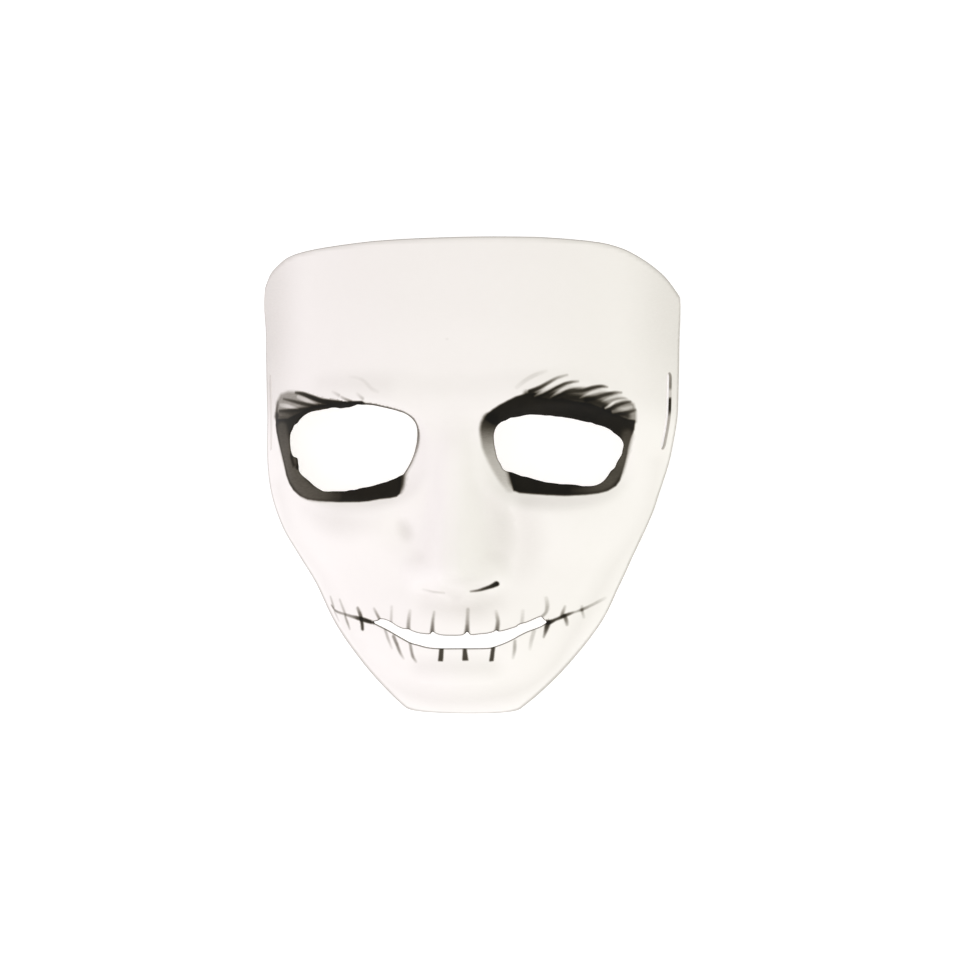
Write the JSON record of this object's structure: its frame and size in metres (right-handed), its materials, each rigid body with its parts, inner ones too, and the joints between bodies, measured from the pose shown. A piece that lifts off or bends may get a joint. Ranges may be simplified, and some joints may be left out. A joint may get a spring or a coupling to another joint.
{
  "type": "halloween mask",
  "caption": "Full-face costume mask: thin moulded white shell with eye holes, a smile-shaped mouth slit and side strap slots, painted black round the eyes and stitched across the mouth.",
  "frame": {"origin": "on the resting plane, under the middle of the mask's box", "axes": "the mask lies face up on its back rim: +Z out of the face, +Y towards the forehead, +X to the viewer's right"},
  "size_m": [0.1787, 0.1942, 0.0798],
  "materials": {
    "mask_plastic": "satin white moulded plastic with hand-painted black marks"
  },
  "bodies": {
    "root": {"mask_shell": "mask_plastic"}
  },
  "joints": []
}
